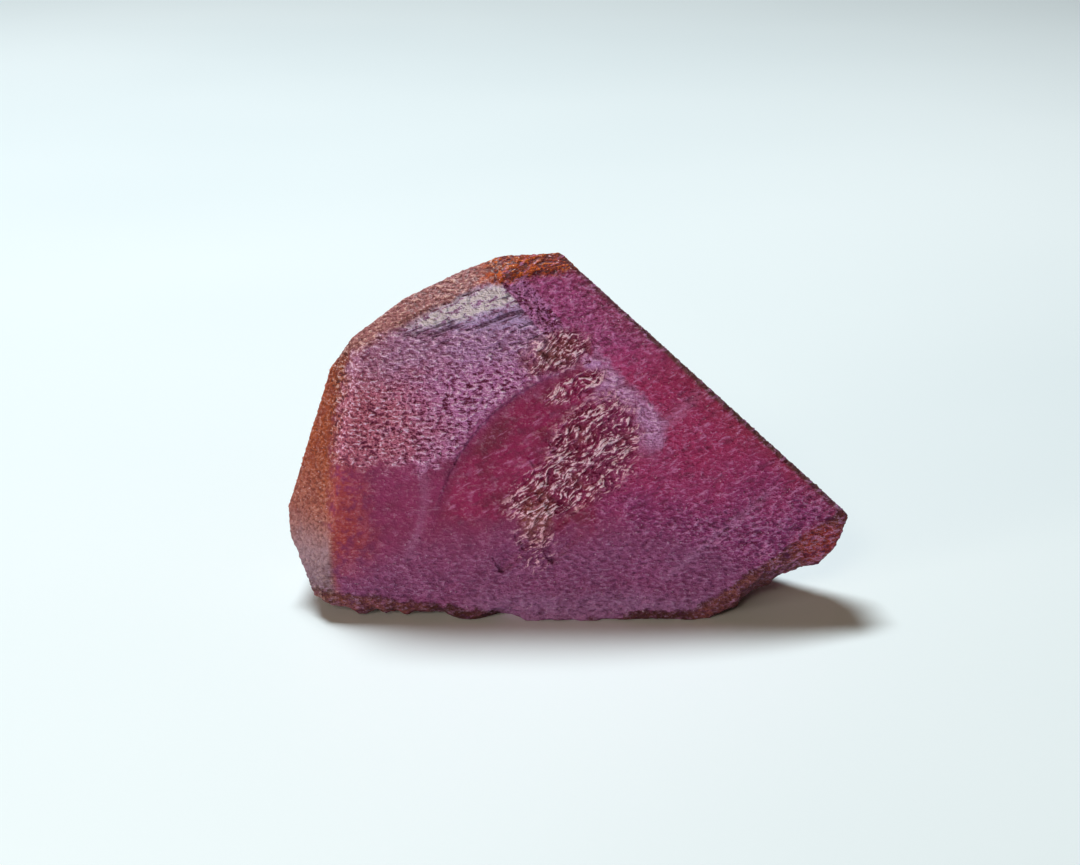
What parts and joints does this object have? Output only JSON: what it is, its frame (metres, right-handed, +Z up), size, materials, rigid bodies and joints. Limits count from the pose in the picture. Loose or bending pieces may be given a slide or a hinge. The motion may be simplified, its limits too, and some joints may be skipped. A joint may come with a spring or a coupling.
{
  "type": "raw ruby crystal",
  "caption": "Thick tabular fragment of a raw ruby crystal with a pitted front face, bevelled edges and a broken underside that it stands on.",
  "frame": {"origin": "bottom centre of the crystal's box, on the flat of the foot", "axes": "+Z up, +X along the longest side, the broad front face towards -Y"},
  "size_m": [0.0252, 0.0086, 0.0157],
  "materials": {
    "ruby": "satin, pitted, with glossy broken spots"
  },
  "bodies": {
    "root": {"ruby_crystal": "ruby"}
  },
  "joints": []
}
